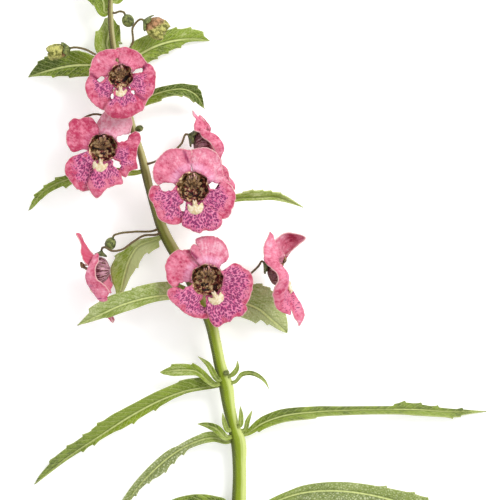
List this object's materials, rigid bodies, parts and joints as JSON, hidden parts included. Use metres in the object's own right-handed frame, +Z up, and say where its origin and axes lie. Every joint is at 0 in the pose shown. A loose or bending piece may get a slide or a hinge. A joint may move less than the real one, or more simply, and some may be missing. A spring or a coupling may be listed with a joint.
{
  "type": "angelonia flower stem",
  "caption": "Cut flowering stem of a pink angelonia with open flowers, buds and toothed leaves, lying on its back on a surface.",
  "frame": {"origin": "middle of the outline seen from above, on the surface that the stem lies on", "axes": "+Y towards the growing tip, +Z up, the way the open flowers face, +X to the right seen from above"},
  "size_m": [0.1386, 0.1798, 0.0275],
  "materials": {
    "stem": "satin",
    "leaf": "satin",
    "petal": "satin",
    "calyx": "satin",
    "tooth": "satin",
    "bud": "satin",
    "bud_petal": "satin"
  },
  "bodies": {
    "root": {"bud_1": "bud", "bud_2_calyx": "calyx", "bud_2_petals": "bud_petal", "bud_3_calyx": "calyx", "bud_3_petals": "bud_petal", "bud_4": "bud", "bud_5": "bud", "bud_6": "bud", "bud_tip": "bud", "flower_1_calyx": "calyx", "flower_1_corolla": "petal", "flower_1_tooth": "tooth", "flower_2_calyx": "calyx", "flower_2_corolla": "petal", "flower_2_tooth": "tooth", "flower_3_calyx": "calyx", "flower_3_corolla": "petal", "flower_3_tooth": "tooth", "flower_4_calyx": "calyx", "flower_4_corolla": "petal", "flower_4_tooth": "tooth", "flower_5_calyx": "calyx", "flower_5_corolla": "petal", "flower_5_tooth": "tooth", "flower_6_calyx": "calyx", "flower_6_corolla": "petal", "flower_6_tooth": "tooth", "flower_7_calyx": "calyx", "flower_7_corolla": "petal", "flower_7_tooth": "tooth", "leaf_eighth_axil_left": "leaf", "leaf_eighth_axil_right": "leaf", "leaf_eighth_left": "leaf", "leaf_eighth_right": "leaf", "leaf_eighth_shoot_left": "leaf", "leaf_eighth_shoot_right": "leaf", "leaf_fifth_left": "leaf", "leaf_fifth_right": "leaf", "leaf_fourth_left": "leaf", "leaf_ninth_left": "leaf", "leaf_ninth_right": "leaf", "leaf_seventh_axil": "leaf", "leaf_seventh_left": "leaf", "leaf_seventh_shoot_left": "leaf", "leaf_seventh_shoot_right": "leaf", "leaf_seventh_shoot_up": "leaf", "leaf_sixth_left": "leaf", "leaf_sixth_right": "leaf", "leaf_third_right": "leaf", "leaf_top_left": "leaf", "leaf_top_right": "leaf", "leaf_under_tip": "leaf", "leaf_upper_left": "leaf", "leaf_upper_right": "leaf", "stem": "stem"}
  },
  "joints": []
}
